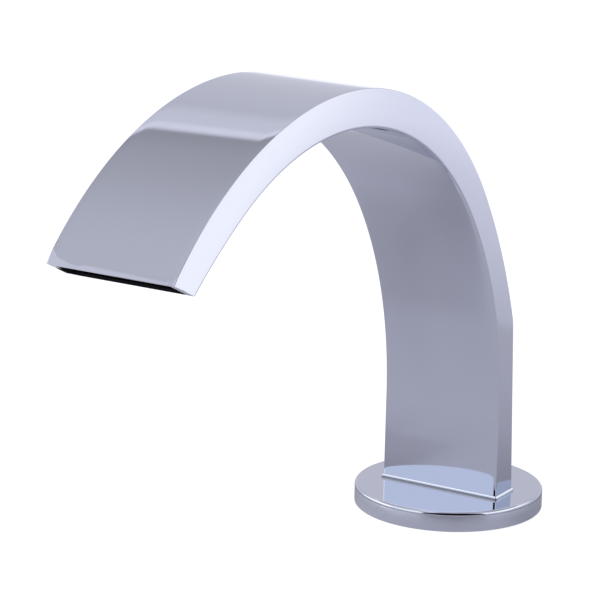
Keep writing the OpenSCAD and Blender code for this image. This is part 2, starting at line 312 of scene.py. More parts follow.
def use(piece, kind, **settings):
    """Adds a modifier with its settings and applies it"""
    selected(piece)
    change = piece.modifiers.new(kind.lower(), kind)
    for key, value in settings.items():
        setattr(change, key, value)
    bpy.ops.object.modifier_apply(modifier=change.name)


def shaded(piece, degrees=40):
    """Smooth shading that keeps the broad faces flat beside their rounded edges"""
    selected(piece)
    bpy.ops.object.shade_smooth_by_angle(angle=radians(degrees))
    use(piece, "WEIGHTED_NORMAL", mode="FACE_AREA", weight=100, keep_sharp=True)


def joined(pieces, name):
    nothing_selected()
    for piece in pieces:
        piece.select_set(True)
    bpy.context.view_layer.objects.active = pieces[0]
    bpy.ops.object.join()
    return named(name)


def finished(piece, finishes, node, body="spout", second=None):
    """Gives a piece its finishes and its body, and hides its CAD node; faces that pass a test get the
    second
    """
    piece.data.materials.clear()
    for finish in finishes:
        piece.data.materials.append(finish)
    for face in piece.data.polygons:
        face.material_index = 1 if second and second(face) else 0
    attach(piece, body)
    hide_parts(node)


# Side view of the arch

def ahead(p, heading, d):
    """Point at distance d from p on a heading, which is the angle from upright towards the mouth"""
    return p + d * Vector((0, -sin(heading), cos(heading)))


def outward(heading):
    return Vector((0, cos(heading), sin(heading)))


class Line:
    """One long face of the arch in the side view: a straight foot and bends that run on from it"""

    def __init__(self, start, heading, straight, bends):
        self.start, self.heading, self.straight, self.bends = start, heading, straight, bends

    def moved(self, d):
        """The same line, moved outwards by d"""
        bends = [(r + d, turn) for r, turn in self.bends]
        return Line(self.start + d * outward(self.heading), self.heading, self.straight, bends)

    def outward_at(self, p):
        """Direction out of the line nearest to a place"""
        reached, found = self.heading, outward(self.heading)
        for centre, turn in self.centres():
            seen = atan2(p.z - centre.z, p.y - centre.y)
            if seen > reached:
                found = outward(min(seen, reached + turn))
            reached += turn
        return found

    def end_heading(self):
        return self.heading + sum(turn for _, turn in self.bends)

    def end(self):
        centre, _ = self.centres()[-1]
        r, _ = self.bends[-1]
        return centre + r * outward(self.end_heading())

    def centres(self):
        """Centre and turn of each bend in turn"""
        p, a = ahead(self.start, self.heading, self.straight), self.heading
        found = []
        for r, turn in self.bends:
            centre = p - r * outward(a)
            found.append((centre, turn))
            a += turn
            p = centre + r * outward(a)
        return found

    def spin(self, centre, turn, step):
        """Takes what is selected round a bend, in steps of about the given angle"""
        count = max(1, round(abs(turn) / step))
        bpy.ops.mesh.spin(steps=count, angle=-turn, center=centre, axis=(1, 0, 0))

    def run(self, way, pieces=8):
        """Takes what is selected along the straight foot, up for way 1 and down for -1"""
        for _ in range(pieces):
            pull(*ahead(Vector(), self.heading, way * self.straight / pieces))

    def past_end(self, d):
        """Step of length d straight on from the end"""
        return ahead(Vector(), self.end_heading(), d)

    def draw(self, step, over):
        """Takes what is selected along the line and on past its end"""
        self.run(1)
        for centre, turn in self.centres():
            self.spin(centre, turn, step)
        pull(*self.past_end(over))

    def draw_back(self, step, over):
        """Takes what is selected back along the line from past its end to its start"""
        pull(*self.past_end(-over))
        for centre, turn in reversed(self.centres()):
            self.spin(centre, -turn, step)
        self.run(-1)


def chord(a, turn):
    """Way across a bend of radius 1, as y and z"""
    step = outward(a + turn) - outward(a)
    return Vector((step.y, step.z))


class Arch:
    """Both long faces of the arch and its mouth, worked out from its sizes"""

    def __init__(self, s, foot):
        drop = foot.seat + s.over / 2
        low = foot.flange_h - drop
        back_start = Vector((0, s.back_y + drop * tan(s.back_lean), low))
        bends = [(s.neck_r, s.neck_a), (s.rise_r, s.rise_a), (s.crown_r, s.crown_a), (s.nose_r, s.nose_a)]
        self.back = Line(back_start, s.back_lean, drop / cos(s.back_lean) + s.back_straight, bends)
        self.tip = self.back.end()
        self.across = Vector((0, cos(s.mouth_tilt), -sin(s.mouth_tilt)))
        self.out = Vector((0, -sin(s.mouth_tilt), -cos(s.mouth_tilt)))
        front_start = Vector((0, -s.front_y, low))
        heel, vault = chord(0, s.heel_a), chord(s.heel_a, s.vault_a)
        bent = s.heel_a + s.vault_a
        span = (self.tip + s.mouth_t * self.across - ahead(front_start, 0, drop + s.front_straight)
                - s.lip_r * (outward(bent + s.lip_a) - outward(bent)))
        span = Vector((span.y, span.z))
        heel_r = span.cross(vault) / heel.cross(vault)
        vault_r = heel.cross(span) / heel.cross(vault)
        self.front = Line(front_start, 0, drop + s.front_straight,
                          [(heel_r, s.heel_a), (vault_r, s.vault_a), (s.lip_r, s.lip_a)])
        self.seat_z = foot.flange_h - foot.seat

    def trim(self):
        """Cuts the edited mesh off along the mouth and level in its seat, with a split between the two"""
        near_share = 0.8
        near_mouth, near_seat = near_share * self.tip.y, 2 * self.seat_z
        split((0, near_mouth, 0), (0, 1, 0))
        split((0, 0, near_seat), (0, 0, 1))
        cut(self.tip, self.out, lambda face: face.calc_center_median().y < near_mouth)
        cut((0, 0, self.seat_z), DOWN, lambda face: face.calc_center_median().z < near_seat)

    def at_mouth(self, p):
        return abs((p - self.tip).dot(self.out)) < ON_PLANE and p.z > self.tip.z / 2

    def cut_end(self, face):
        """True for a face of the cut end that frames the mouth"""
        return looks(face, self.out, least=0.95)


def crowned(s, from_edge):
    """How far a crowned side face lies below its middle, at a distance from the edge of the arch"""
    return s.crown * max(0, 1 - 2 * from_edge / s.mouth_t) ** 2


def point_at(p, name):
    """An object of one vertex, being edited"""
    nothing_selected()
    bpy.ops.mesh.primitive_plane_add(size=MM, location=p)
    piece = named(name)
    editing(piece)
    bpy.ops.mesh.merge(type="CENTER")
    all_picked("VERT")
    return piece


# Materials

class Wire:
    """A value of a material's nodes: sums and products of such values add Math nodes"""

    def __init__(self, sheet, socket):
        self.sheet, self.socket = sheet, socket

    def math(self, operation, *terms):
        return self.sheet.node("ShaderNodeMath", {"operation": operation}, dict(enumerate(terms)))

    def __add__(self, other):
        return self.math("ADD", self, other)

    def __radd__(self, other):
        return self.math("ADD", other, self)

    def __sub__(self, other):
        return self.math("SUBTRACT", self, other)

    def __rsub__(self, other):
        return self.math("SUBTRACT", other, self)

    def __mul__(self, other):
        return self.math("MULTIPLY", self, other)

    def __rmul__(self, other):
        return self.math("MULTIPLY", other, self)

    def __truediv__(self, other):
        return self.math("DIVIDE", self, other)

    def hypot(self, other):
        """Length of the diagonal of this value and another"""
        return self.math("SQRT", self * self + other * other)


class Sheet:
    """The nodes of one material or world"""

    def __init__(self, holder):
        holder.use_nodes = True
        self.tree = holder.node_tree
        self.tree.nodes.clear()

    def node(self, kind, settings=None, values=None, out=0):
        """Adds a node with its settings and the values or wires of its sockets"""
        made = self.tree.nodes.new(kind)
        for key, value in (settings or {}).items():
            if key == "stops":
                self.set_stops(made, value)
            else:
                setattr(made, key, value)
        for key, value in (values or {}).items():
            if isinstance(value, Wire):
                self.tree.links.new(value.socket, made.inputs[key])
            else:
                made.inputs[key].default_value = value
        return Wire(self, made.outputs[out]) if made.outputs else None

    def set_stops(self, ramp, stops):
        band = ramp.color_ramp.elements
        while len(band) < len(stops):
            band.new(1)
        for element, (place, rgb) in zip(band, stops):
            element.position = place
            element.color = (*rgb, 1)

    def object_place(self):
        return self.node("ShaderNodeTexCoord", out="Object")

    def parts(self, vector):
        outs = self.node("ShaderNodeSeparateXYZ", None, {0: vector}).socket.node.outputs
        return [Wire(self, outs[i]) for i in range(3)]

    def noise(self, place, scale, detail, stretch=(1, 1, 1)):
        moved = self.node("ShaderNodeMapping", None, {"Vector": place, "Scale": stretch})
        return self.node("ShaderNodeTexNoise", None, {"Vector": moved, "Scale": scale, "Detail": detail})

    def step(self, value, low, high):
        """0 below low, 1 above high and a smooth rise between"""
        return self.node("ShaderNodeMapRange", {"interpolation_type": "SMOOTHSTEP"},
                         {"Value": value, "From Min": low, "From Max": high})

    def fall(self, value, low, high):
        """1 below low, 0 above high and a smooth fall between"""
        return self.step(0.0 - value, -high, -low)

    def blend(self, share, a, b, kind="MIX"):
        return self.node("ShaderNodeMix", {"data_type": "RGBA", "blend_type": kind},
                         {0: share, 6: a, 7: b}, out=2)

    def ramp(self, value, stops):
        return self.node("ShaderNodeValToRGB", {"stops": stops}, {0: value})

    def bump(self, height, strength, distance):
        return self.node("ShaderNodeBump", None,
                         {"Height": height, "Strength": strength, "Distance": distance})

    def finish(self, values):
        shader = self.node("ShaderNodeBsdfPrincipled", None, values)
        self.node("ShaderNodeOutputMaterial", None, {"Surface": shader})

    def part_rays(self, mirrored, seen, output):
        """Shows one shader to the camera and another to all that mirrors it"""
        camera_ray = self.node("ShaderNodeLightPath", out="Is Camera Ray")
        mixed = self.node("ShaderNodeMixShader", None, {0: camera_ray, 1: mirrored, 2: seen})
        self.node(output, None, {"Surface": mixed})


def rgba(rgb, share=1.0):
    return (rgb[0] * share, rgb[1] * share, rgb[2] * share, 1.0)


def material(name, lay_out, *given):
    """The material of a name, whose sheet a function lays out when it is first asked for"""
    made = bpy.data.materials.get(name)
    if not made:
        made = bpy.data.materials.new(name)
        lay_out(Sheet(made), *given)
    return made


def chrome(sheet, colours):
    """Polished plate: a clean mirror with the faint waves and haze that polishing leaves"""
    place = sheet.object_place()
    waves = sheet.noise(place, 45, 1)
    haze = sheet.noise(place, 220, 4)
    wiped = sheet.noise(place, 900, 2, (1, 0.15, 1))
    tone = sheet.blend(haze * 0.25, rgba(colours.chrome), rgba(colours.chrome, 0.96))
    sheet.finish({"Base Color": tone, "Metallic": 1.0, "Roughness": 0.03 + haze * 0.03 + wiped * 0.01,
                  "Normal": sheet.bump(waves, 0.12, 0.02 * MM)})


def turned_chrome(sheet, colours, foot):
    """Chrome whose side wall keeps the fine lines of turning under the plate"""
    place = sheet.object_place()
    x, y, z = sheet.parts(place)
    # The wall starts just inside the flange's radius and stops where the rim bends in
    wall = (sheet.step(x.hypot(y), foot.flange_r - 0.4 * MM, foot.flange_r - 0.1 * MM)
            * sheet.fall(z, foot.flange_h - 1.2 * foot.rim_r, foot.flange_h - foot.rim_r))
    haze = sheet.noise(place, 220, 4)
    rings = sheet.noise(place, 260, 3, (1, 1, 14))
    stains = sheet.noise(place, 90, 3)
    # It bulges most 1.2 mm above the deck
    height = z / MM - 1.2
    swell = rings * 0.012 + stains * 0.3 - height * height * 0.03
    rough = 0.035 + haze * 0.03 + wall * (0.14 + stains * 0.24)
    tone = sheet.blend(wall * stains * 0.3, rgba(colours.chrome), rgba(colours.chrome, 0.75))
    sheet.finish({"Base Color": tone, "Metallic": 1.0 - wall * stains * 0.5, "Roughness": rough,
                  "Normal": sheet.bump(swell * wall, 1.0, MM)})


def braze_toe_painted_shade(sheet, colours):
    """Toe of the bead of braze: rough and dull, with its colour darkened as painted shade where the bead
    meets the flange
    """
    sheet.finish({"Base Color": rgba(colours.chrome, 0.45), "Metallic": 1.0, "Roughness": 0.45})


def bore_painted_shade(sheet, colours):
    """Rough bare metal inside the water channel, painted near black as the shade in the deep slot"""
    scale = sheet.noise(sheet.object_place(), 400, 4)
    tone = sheet.blend(scale, rgba(colours.bore, 0.6), rgba(colours.bore, 1.5))
    sheet.finish({"Base Color": tone, "Metallic": 0.0, "Roughness": 0.8 + scale * 0.2,
                  "Specular IOR Level": 0.0, "Normal": sheet.bump(scale, 0.3, 0.05 * MM)})


def brass(sheet, colours):
    """Machined brass with turning rings and a slight tarnish"""
    place = sheet.object_place()
    rings = sheet.noise(place, 160, 3, (1, 1, 30))
    tarnish = sheet.noise(place, 90, 4)
    tone = sheet.blend(tarnish, rgba(colours.brass), rgba(colours.brass, 0.72))
    sheet.finish({"Base Color": tone, "Metallic": 1.0, "Roughness": 0.2 + tarnish * 0.2,
                  "Normal": sheet.bump(rings, 0.3, 0.03 * MM)})


def zinc_steel(sheet, colours):
    """Pressed steel under a cloudy zinc plate"""
    place = sheet.object_place()
    clouds = sheet.noise(place, 130, 4)
    grain = sheet.noise(place, 900, 2, (1, 0.1, 1))
    warm = (colours.steel[0] * 0.95, colours.steel[1] * 0.9, colours.steel[2] * 0.72)
    tone = sheet.blend(clouds * 0.6, rgba(colours.steel), rgba(warm))
    sheet.finish({"Base Color": tone, "Metallic": 1.0, "Roughness": 0.26 + clouds * 0.2,
                  "Normal": sheet.bump(grain, 0.2, 0.02 * MM)})


def rubber(sheet, colours):
    """Moulded rubber with a matt skin and a grey bloom"""
    place = sheet.object_place()
    bloom = sheet.noise(place, 150, 4)
    skin = sheet.noise(place, 1600, 3)
    tone = sheet.blend(bloom * 0.4, rgba(colours.rubber), rgba(colours.rubber, 2.4))
    sheet.finish({"Base Color": tone, "Roughness": 0.62 + bloom * 0.2,
                  "Normal": sheet.bump(skin, 0.35, 0.05 * MM)})


def plastic(sheet, rgb):
    """Moulded acetal with a fine satin skin"""
    place = sheet.object_place()
    cast = sheet.noise(place, 120, 3)
    skin = sheet.noise(place, 2200, 2)
    tone = sheet.blend(cast * 0.5, rgba(rgb), rgba(rgb, 0.88))
    sheet.finish({"Base Color": tone, "Roughness": 0.38 + skin * 0.15,
                  "Normal": sheet.bump(skin, 0.2, 0.03 * MM)})


def plated(colours):
    """Finishes of a piece: polished chrome outside, and inside the water channel a near-black finish that
    paints the slot's shade
    """
    return [material("polished_chrome", chrome, colours), material("bore_painted_shade", bore_painted_shade, colours)]


# Pieces

class SPOUT_OT_cheeks(bpy.types.Operator):
    """Cuts both side walls of the arch from plate and crowns their outer faces"""
    bl_idname = "spout.cheeks"
    bl_label = "Cheeks"

    def execute(self, context):
        scene = context.scene
        s, arch = scene.spout_sizes, Arch(scene.spout_sizes, scene.foot_sizes)
        right = self.outline(s, arch)
        pull(s.cheek_t, 0, 0)
        tidy_normals()
        self.crown(s)
        arch.trim()
        tidy_normals()
        # Past this line across the cut end, the left cheek's end is painted near black as shade in the
        # slot
        end_shade_share = 0.4
        end_shade_start = arch.tip + end_shade_share * s.mouth_t * arch.across
        pick("FACE", arch.cut_end)
        bpy.ops.mesh.bisect(plane_co=end_shade_start, plane_no=arch.across)
        done()
        shaded(right)
        selected(right)
        bpy.ops.object.duplicate()
        left = named("cheek_left")
        bpy.ops.transform.mirror(constraint_axis=(True, False, False), center_override=(0, 0, 0))
        bpy.ops.object.transform_apply()
        editing(left)
        bpy.ops.mesh.normals_make_consistent(inside=False)
        done()
        shaded(left)
        finishes = plated(scene.spout_colours)
        # Faces towards the channel get the near-black painted shade
        finished(right, finishes, "right_cheek", second=lambda face: looks(face, LEFT, least=0.3))
        finished(left, finishes, "left_cheek",
                 second=lambda face: looks(face, RIGHT, least=0.3) or arch.cut_end(face)
                 and (face.center - end_shade_start).dot(arch.across) > 0)
        return {"FINISHED"}

    def outline(self, s, arch):
        """Inner face of the right cheek, drawn along both long faces less the plates' edges"""
        lap = s.rebate + s.seam
        back, front = arch.back.moved(-lap), arch.front.moved(lap)
        cheek = point_at(back.start + Vector((s.half_w - s.cheek_t, 0, 0)), "cheek_right")
        back.draw(s.step, s.over)
        pull(*(front.end() + front.past_end(s.over) - back.end() - back.past_end(s.over)))
        front.draw_back(s.step, s.over)
        pick("VERT", lambda v: len(v.link_edges) == 1)
        bpy.ops.mesh.edge_face_add()
        bpy.ops.mesh.select_all(action="SELECT")
        bpy.ops.mesh.edge_face_add()
        all_picked()
        return cheek

    def crown(self, s):
        """Leaves the outer face a little higher along its middle, in strips along its edge"""
        strips_across, strips = 10, 3
        pick("FACE", lambda face: looks(face, RIGHT, least=0.99))
        strip_w = s.mouth_t / strips_across
        from_edge = s.rebate
        slide(-crowned(s, from_edge), 0, 0)
        for _ in range(strips):
            rise = crowned(s, from_edge) - crowned(s, from_edge + strip_w)
            bpy.ops.mesh.inset(thickness=strip_w, depth=rise, use_even_offset=False)
            from_edge += strip_w


class SPOUT_OT_plates(bpy.types.Operator):
    """Bends both plates of the arch, rolls the outer one off and flares the inner one at the mouth"""
    bl_idname = "spout.plates"
    bl_label = "Plates"

    def execute(self, context):
        scene = context.scene
        s, arch = scene.spout_sizes, Arch(scene.spout_sizes, scene.foot_sizes)
        finishes = plated(scene.spout_colours)
        for name, node, line, t, outside, edges in (
                ("plate_outer", "outer_plate", arch.back, s.outer_t, 1, (s.back_edge, s.back_edge)),
                ("plate_inner", "inner_plate", arch.front, s.inner_t, -1, (s.far_edge, s.near_edge))):
            plate = self.section(s, name, line, t, outside, edges)
            self.wear(s, plate, line, outside)
            all_picked()
            line.draw(s.step, s.over)
            tidy_normals()
            arch.trim()
            tidy_normals()
            if outside > 0:
                self.roll_off(s, plate, arch)
            self.mouth_edges(s, arch, t, outside)
            done()
            shaded(plate)
            # Faces towards the channel get the near-black painted shade
            finished(plate, finishes, node,
                     second=lambda face: not arch.cut_end(face)
                     and not looks(face, outside * line.outward_at(face.center), least=0.2)
                     and abs(face.center.x) < s.half_w - s.cheek_t / 2)
        return {"FINISHED"}

    def section(self, s, name, line, t, outside, edges):
        """Section of a plate with rebated edges; outside is 1 where the line is its outer face, else -1"""
        inside = s.half_w - s.cheek_t - s.seam
        skin = outside * outward(line.heading)
        nothing_selected()
        bpy.ops.mesh.primitive_plane_add(size=1, location=line.start - t / 2 * skin,
                                         rotation=(line.heading, 0, 0))
        bpy.context.object.scale = (2 * s.half_w, t, 1)
        plate = named(name)
        editing(plate)
        split(line.start - s.rebate * skin, skin)
        for side in (-1, 1):
            split((side * inside, 0, 0), (1, 0, 0))
        pick("FACE", lambda face: abs(face.calc_center_median().x) > inside
             and (face.calc_center_median() - line.start).dot(skin) < -s.rebate)
        bpy.ops.mesh.delete(type="FACE")
        for side, edge_r in zip((-1, 1), edges):
            pick("VERT", lambda v: side * v.co.x > s.half_w - ON_PLANE
                 and (v.co - line.start).dot(skin) > -ON_PLANE)
            bpy.ops.mesh.bevel(offset=edge_r, segments=6, affect="VERTICES")
        return plate

    def wear(self, s, plate, line, outside):
        """Lowers the skin of a section towards its ends, as polishing does, and crowns the ends"""
        worn_shares = (0.84, 0.9, 0.935, 0.96)
        skin = outside * outward(line.heading)
        for share in worn_shares:
            for side in (-1, 1):
                split((side * share * s.half_w, 0, 0), (1, 0, 0))

        def worn(co):
            past = (abs(co.x) / s.half_w - worn_shares[0]) / (1 - worn_shares[0])
            depth = -(co - line.start).dot(skin)
            if past > 0 and depth < s.rebate / 2:
                co -= s.droop * past * past * (1 - 2 * depth / s.rebate) * skin
            if abs(co.x) > s.half_w - ON_PLANE:
                co.x -= copysign(crowned(s, depth), co.x)
            return co

        reshape(plate, worn)

    def roll_off(self, s, plate, arch):
        """Rounds off the skin towards the mouth, over a wider strip at the left corner"""
        strip_shares = (0.4, 0.8, 1.1, 1.35, 1.7, 2.1, 2.6, 3.2)
        corner_shares = (0.4, 0.5, 0.6, 0.7, 0.77)
        taper_share, bend_share, depth_share = 0.6, 0.5, 0.7
        for share in strip_shares:
            split(arch.tip - share * s.roll_w * arch.out, arch.out)
        for share in corner_shares:
            split((-share * s.half_w, 0, 0), (1, 0, 0))
        skin = arch.back.outward_at(arch.tip)
        bend = bend_share * s.roll_w

        def rolled(co):
            aside = max(0, -co.x / s.half_w - corner_shares[0]) / (1 - corner_shares[0])
            wide = s.roll_w * (1 + taper_share * co.x / s.half_w) + s.corner_w * aside ** 3
            way = (co - arch.tip).dot(arch.out) + wide
            depth = (arch.tip - co).dot(skin)
            if way > 0 and depth < depth_share * s.rebate:
                turned = way * way / (2 * bend) if way < bend else way - bend / 2
                # It is whole down to a quarter of the rebate's depth and fades out below
                co -= tan(s.roll) * turned * min(1, 1.5 - 2 * depth / s.rebate) * skin
            return co

        reshape(plate, rolled)

    def mouth_edges(self, s, arch, t, outside):
        """Flares the inner plate towards the mouth and rounds the outer edge of the mouth"""
        inside = s.half_w - s.cheek_t - s.seam
        near_share, far_share = 0.3, 0.6
        channel_edge = arch.tip + (t if outside > 0 else s.mouth_t - t) * arch.across
        if outside < 0:
            rounded(lambda e: arch.at_mouth(middle(e)) and folded(e) and abs(middle(e).x) < inside
                    and abs((middle(e) - channel_edge).dot(arch.across)) < near_share * t,
                    t - s.rim_t, segments=1)
        rounded(lambda e: arch.at_mouth(middle(e)) and folded(e)
                and (middle(e) - channel_edge).dot(outside * arch.across) < -far_share * t,
                s.tip_edge, segments=3)


class SPOUT_OT_flange(bpy.types.Operator):
    """Turns the round flange and runs the bead of braze round the stem"""
    bl_idname = "spout.flange"
    bl_label = "Flange"

    def execute(self, context):
        scene = context.scene
        s, foot, colours = scene.spout_sizes, scene.foot_sizes, scene.spout_colours
        turned = self.turned(foot, scene.edge_sizes.flange)
        bead = self.bead(s, foot)
        over_bead = foot.flange_h + 3 * foot.lip
        seat = (foot.braze_gap, foot.flange_h - foot.seat, over_bead)
        self.carve(turned, s, foot, *seat)
        self.carve(turned, s, foot, -s.cheek_t, -foot.flange_h, foot.flange_h)
        self.carve(bead, s, foot, *seat)
        flange = joined([turned, bead], "flange_turned")
        shaded(flange)
        finishes = [material("turned_chrome", turned_chrome, colours, foot),
                    material("braze_toe_painted_shade", braze_toe_painted_shade, colours)]

        def toe(face):
            """True for an upright face in front of the stem, at the bead"""
            upright = abs(face.normal.z) < 0.1
            return (upright and looks(face, FRONT, least=0.3)
                    and face.center.z > foot.flange_h - foot.lip / 2)

        # The upright toe of the bead gets the darkened colour, a painted shade line at the joint
        finished(flange, finishes, "base_flange", second=toe)
        return {"FINISHED"}

    def turned(self, foot, low_edge):
        """The flange with its rounded rim, and its recess and the seal's groove underneath"""
        nothing_selected()
        bpy.ops.mesh.primitive_cylinder_add(vertices=foot.sides, radius=foot.flange_r, depth=foot.flange_h,
                                            location=(0, 0, foot.flange_h / 2))
        flange = named("flange_turned")
        editing(flange)
        rounded(lambda e: folded(e) and middle(e).z > foot.flange_h / 2, foot.rim_r, segments=8)
        for r_out, r_in in ((foot.flange_r, foot.groove_out), (foot.groove_out, foot.groove_in),
                            (foot.groove_in, foot.recess_r)):
            pick("FACE", lambda face: looks(face, DOWN) and len(face.verts) == foot.sides)
            bpy.ops.mesh.inset(thickness=r_out - r_in)
        pull(0, 0, foot.recess_h)
        pick("FACE", lambda face: looks(face, DOWN) and face.calc_center_median().z < ON_RING
             and max(v.co.xy.length for v in face.verts) < foot.groove_out + ON_RING
             and min(v.co.xy.length for v in face.verts) > foot.groove_in - ON_RING)
        pull(0, 0, foot.groove_h)
        tidy_normals()
        rounded(lambda e: folded(e) and middle(e).z < ON_RING
                and middle(e).xy.length > foot.groove_out + ON_RING, low_edge, segments=3)
        done()
        return flange

    def block(self, s, foot, grow, low, high):
        """A block with the stem's outline, grown by a little"""
        back = s.back_y + foot.seat * tan(s.back_lean)
        middle_y = (back - s.front_y) / 2
        nothing_selected()
        bpy.ops.mesh.primitive_cube_add(size=1, location=(0, middle_y, (low + high) / 2))
        bpy.context.object.scale = (2 * (s.half_w + grow), back + s.front_y + 2 * grow, high - low)
        return named("block")

    def bead(self, s, foot):
        """Bead of braze between the flange and the stem"""
        edge = foot.lip_edge
        slope_share = 0.98
        low, high = foot.flange_h - foot.lip, foot.flange_h + foot.lip
        bead = self.block(s, foot, edge + foot.braze_gap, low, high)
        editing(bead)
        rounded(lambda e: abs(e.verts[0].co.z - e.verts[1].co.z) > foot.lip, edge, segments=4)
        rounded(lambda e: folded(e) and middle(e).z > foot.flange_h, slope_share * edge, segments=1)
        wall, front = s.half_w + foot.braze_gap, -s.front_y - foot.braze_gap

        def spread(co):
            if abs(co.x) > wall:
                co.x = copysign(wall + foot.lip_aside * (abs(co.x) - wall), co.x)
            if co.y < front:
                co.y = front + foot.lip_slope * (co.y - front)
            return co

        reshape(bead, spread)
        done()
        return bead

    def carve(self, piece, s, foot, grow, low, high):
        """Cuts a block with the stem's outline out of a piece"""
        tool = self.block(s, foot, grow, low, high)
        use(piece, "BOOLEAN", operation="DIFFERENCE", solver="EXACT", object=tool)
        bpy.data.objects.remove(tool)


def machined(node, made, edge, segments=2, least=FOLD):
    """A copy of a CAD node's mesh with its edges broken, named for the node and for how it is made"""
    flat = radians(0.5)
    selected(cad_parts[node])
    bpy.ops.object.duplicate()
    piece = bpy.context.object
    piece.parent = None
    for key in list(piece.keys()):
        del piece[key]
    piece = named(f"{node}_{made}")
    editing(piece)
    bpy.ops.mesh.remove_doubles(threshold=MERGE)
    bpy.ops.mesh.dissolve_limited(angle_limit=flat)
    bpy.ops.mesh.normals_make_consistent(inside=False)
    if edge:
        rounded(lambda e: folded(e, least), edge, segments)
    done()
    return piece


def dressed(node, made, edge, finish, slot, body="spout", **breaking):
    """Machines a piece from a CAD node's mesh and gives it its finish"""
    piece = machined(node, made, edge, **breaking)
    shaded(piece)
    finished(piece, [finish], node, body)


class SPOUT_OT_foot_block(bpy.types.Operator):
    """Machines the brass block that closes the stem and takes the shank"""
    bl_idname = "spout.foot_block"
    bl_label = "Foot block"

    def execute(self, context):
        finish = material("machined_brass", brass, context.scene.spout_colours)
        dressed("foot_block", "machined", context.scene.edge_sizes.block, finish, "brass")
        return {"FINISHED"}


class SPOUT_OT_straightener(bpy.types.Operator):
    """Moulds the comb that calms the water before the mouth"""
    bl_idname = "spout.straightener"
    bl_label = "Flow straightener"

    def execute(self, context):
        finish = material("grey_plastic", plastic, context.scene.spout_colours.grey)
        dressed("flow_straightener", "moulded", context.scene.edge_sizes.comb, finish, "grey_plastic")
        return {"FINISHED"}


class SPOUT_OT_seals(bpy.types.Operator):
    """Moulds the rubber seals"""
    bl_idname = "spout.seals"
    bl_label = "Seals"

    def execute(self, context):
        finish = material("black_rubber", rubber, context.scene.spout_colours)
        edges = context.scene.edge_sizes
        for node, edge in (("deck_seal", edges.seal), ("shank_seal_ring", 0),
                           ("regulator_seal_ring", edges.ring)):
            dressed(node, "moulded", edge, finish, "black_rubber", segments=3)
        return {"FINISHED"}


class SPOUT_OT_shank(bpy.types.Operator):
    """Turns the hollow shank and cuts the threads of its two lengths"""
    bl_idname = "spout.shank"
    bl_label = "Shank"

    def execute(self, context):
        foot = context.scene.foot_sizes
        lengths = (("mounting_thread", foot.thread_r, foot.thread_d, foot.thread_pitch,
                    -foot.thread_end, SHANK_HIGH.z),
                   ("nipple_thread", foot.nipple_r, foot.nipple_d, foot.nipple_pitch,
                    SHANK_LOW.z, -foot.thread_end))
        core = machined("threaded_shank", "core", 0)
        editing(core)
        for _, crest_r, depth, *_ in lengths:
            pick("VERT", lambda v: abs(v.co.xy.length - crest_r) < ON_RING)
            widened((crest_r - depth) / crest_r)
        rounded(lambda e: folded(e, FOLD), context.scene.edge_sizes.shank, segments=2)
        done()
        ridges = [self.thread(*sizes, foot.sides // 3) for sizes in lengths]
        shank = joined([core, *ridges], "shank_turned")
        shaded(shank)
        finish = material("machined_brass", brass, context.scene.spout_colours)
        finished(shank, [finish], "threaded_shank")
        return {"FINISHED"}

    def thread(self, name, crest_r, depth, pitch, low, high, steps):
        """Ridge of a pipe thread, wound round the Z axis from low to high"""
        root_share, low_share, high_share = 0.96, 0.38, 0.58
        sunk = 0.1 * MM
        root_r, half = crest_r - depth, low + pitch / 2
        nothing_selected()
        bpy.ops.mesh.primitive_plane_add(size=1, location=(root_r, 0, half), rotation=(pi / 2, 0, 0))
        ridge = named(name)
        editing(ridge)
        bpy.ops.mesh.delete(type="ONLY_FACE")

        def flank(co):
            if co.x > root_r:
                return Vector((crest_r, 0, low + (high_share if co.z > half else low_share) * pitch))
            return Vector((root_r - sunk, 0, low + root_share * pitch if co.z > half else low))

        reshape(ridge, flank)
        done()
        turns = int((high - low) / pitch) - 1
        use(ridge, "SCREW", screw_offset=pitch, iterations=turns, steps=steps, render_steps=steps,
            axis="Z", use_merge_vertices=False, use_smooth_shade=True)
        editing(ridge)
        pick("EDGE", lambda e: e.is_boundary)
        bpy.ops.mesh.edge_face_add()
        tidy_normals()
        done()
        return ridge


class SPOUT_OT_regulator(bpy.types.Operator):
    """Moulds the flow regulator in the inlet"""
    bl_idname = "spout.regulator"
    bl_label = "Flow regulator"

    def execute(self, context):
        finish = material("white_plastic", plastic, context.scene.spout_colours.white)
        dressed("flow_regulator", "moulded", context.scene.edge_sizes.disc, finish, "white_plastic")
        return {"FINISHED"}


class SPOUT_OT_clamp(bpy.types.Operator):
    """Makes the washers and the nut that clamp the deck"""
    bl_idname = "spout.clamp"
    bl_label = "Deck clamp"

    def execute(self, context):
        colours, edge = context.scene.spout_colours, context.scene.edge_sizes
        black = material("black_rubber", rubber, colours)
        zinc = material("zinc_steel", zinc_steel, colours)
        dressed("rubber_washer", "moulded", edge.soft, black, "black_rubber", "clamp_washers", segments=3)
        dressed("metal_washer", "pressed", edge.hard, zinc, "zinc_steel", "clamp_washers", segments=3)
        turned_brass = material("machined_brass", brass, colours)
        dressed("mounting_nut", "machined", edge.nut, turned_brass, "brass", "nut", segments=3,
                least=20)
        return {"FINISHED"}


# Studio

def tint(level, blue=1.14, green=1.01):
    """Cool grey of the studio at a level"""
    return (level, level * green, level * blue)


def by_height(stops):
    """Stops of a ramp that runs from straight down to straight up, given by angles from level"""
    return [(0.5 + 0.5 * sin(radians(degrees)), rgb) for degrees, rgb in stops]


